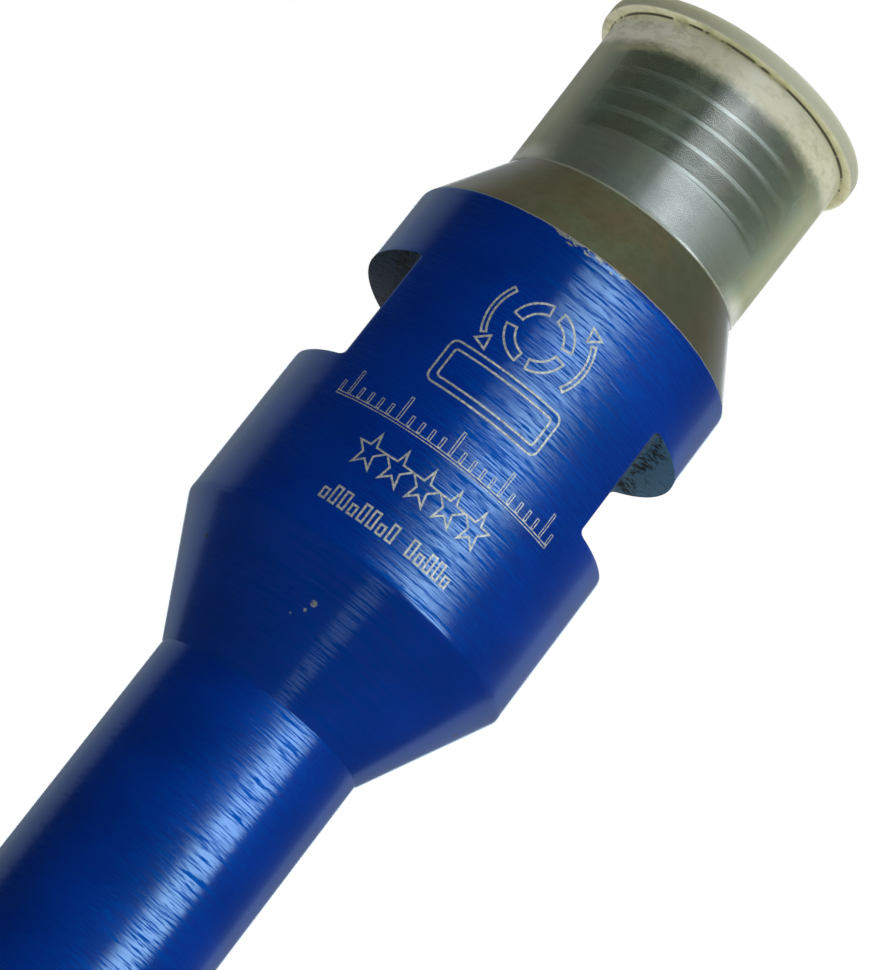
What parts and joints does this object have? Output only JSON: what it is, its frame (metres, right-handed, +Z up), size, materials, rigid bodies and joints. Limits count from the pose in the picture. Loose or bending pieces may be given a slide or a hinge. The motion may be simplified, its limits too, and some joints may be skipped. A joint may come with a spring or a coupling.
{
  "type": "diamond core bit",
  "caption": "Slender core drilling bit: slotted crown of brazed segments, long thin tube, turned hub with wrench flats and a threaded stub under a translucent push-on cap.",
  "frame": {"origin": "on the bit's axis, in the plane of the cutting face", "axes": "+Z up the axis from the crown to the capped thread; the wrench flats face -X and +X; the engraved front faces -Y"},
  "size_m": [0.0292, 0.0292, 0.5131],
  "materials": {
    "hub_lacquer": "clear blue lacquer over turned steel",
    "tube_lacquer": "clear blue lacquer over ground steel tube",
    "segment_grit": "rough sintered metal with exposed grit",
    "cap_plastic": "translucent milky soft plastic"
  },
  "bodies": {
    "root": {"hub": "hub_lacquer", "core_tube": "tube_lacquer", "segment_1": "segment_grit", "segment_2": "segment_grit", "segment_3": "segment_grit", "segment_4": "segment_grit", "thread_cap": "cap_plastic"}
  },
  "joints": []
}
